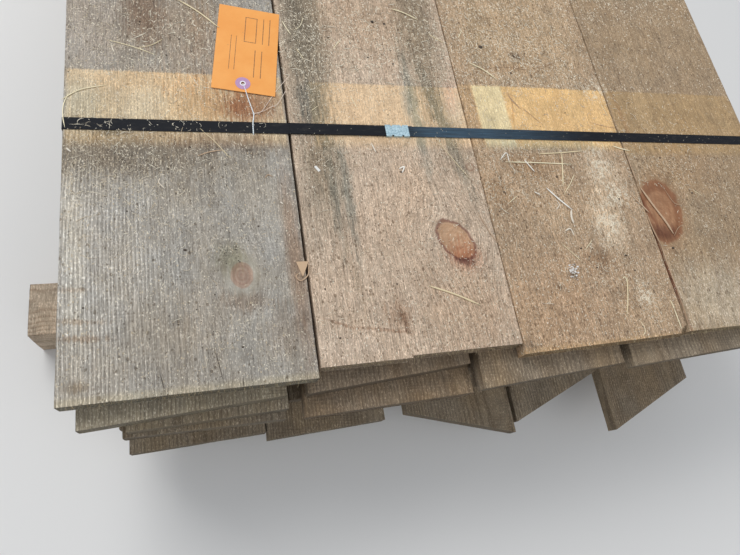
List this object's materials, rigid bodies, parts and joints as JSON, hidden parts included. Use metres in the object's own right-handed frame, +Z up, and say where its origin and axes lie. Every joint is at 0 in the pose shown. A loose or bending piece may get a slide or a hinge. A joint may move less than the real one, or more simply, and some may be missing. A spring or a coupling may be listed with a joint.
{
  "type": "strapped bundle of rough-sawn pine boards",
  "caption": "Stack of rough-sawn pine boards held by plastic strap, with crimped seals, a hanging card tag and cross bearers underneath.",
  "frame": {"origin": "on the floor, under the middle of the whole bundle's box", "axes": "+X across the boards, +Y along the boards towards the far end, +Z up"},
  "size_m": [1.422, 2.5816, 0.3465],
  "materials": {
    "boards": "rough sawn and weathered",
    "bearers": "rough sawn and weathered",
    "strap": "embossed, slightly glossy",
    "seal": "galvanised",
    "tag": "smooth card",
    "tag_ring": "smooth",
    "tag_wire": "galvanised wire"
  },
  "bodies": {
    "root": {"bearer_far": "bearers", "bearer_middle": "bearers", "bearer_near": "bearers", "layer_01_board_1": "boards", "layer_01_board_2": "boards", "layer_01_board_3": "boards", "layer_01_board_4": "boards", "layer_02_board_1": "boards", "layer_02_board_2": "boards", "layer_02_board_3": "boards", "layer_02_board_4": "boards", "layer_02_board_5": "boards", "layer_03_board_1": "boards", "layer_03_board_2": "boards", "layer_03_board_3": "boards", "layer_03_board_4": "boards", "layer_03_board_5": "boards", "layer_04_board_1": "boards", "layer_04_board_2": "boards", "layer_04_board_3": "boards", "layer_04_board_4": "boards", "layer_04_board_5": "boards", "layer_05_board_1": "boards", "layer_05_board_2": "boards", "layer_05_board_3": "boards", "layer_05_board_4": "boards", "layer_05_board_5": "boards", "layer_06_board_1": "boards", "layer_06_board_2": "boards", "layer_06_board_3": "boards", "layer_06_board_4": "boards", "layer_07_board_1": "boards", "layer_07_board_2": "boards", "layer_07_board_3": "boards", "layer_07_board_4": "boards", "layer_07_board_5": "boards", "layer_08_board_1": "boards", "layer_08_board_2": "boards", "layer_08_board_3": "boards", "layer_08_board_4": "boards", "layer_09_board_1": "boards", "layer_09_board_2": "boards", "layer_09_board_3": "boards", "layer_09_board_4": "boards", "layer_09_board_5": "boards", "layer_10_board_1": "boards", "layer_10_board_2": "boards", "layer_10_board_3": "boards", "layer_10_board_4": "boards", "layer_10_board_5": "boards", "seal_far": "seal", "seal_near": "seal", "strap_far": "strap", "strap_near": "strap", "tag": "tag", "tag_ring": "tag_ring", "tag_wire": "tag_wire"}
  },
  "joints": []
}
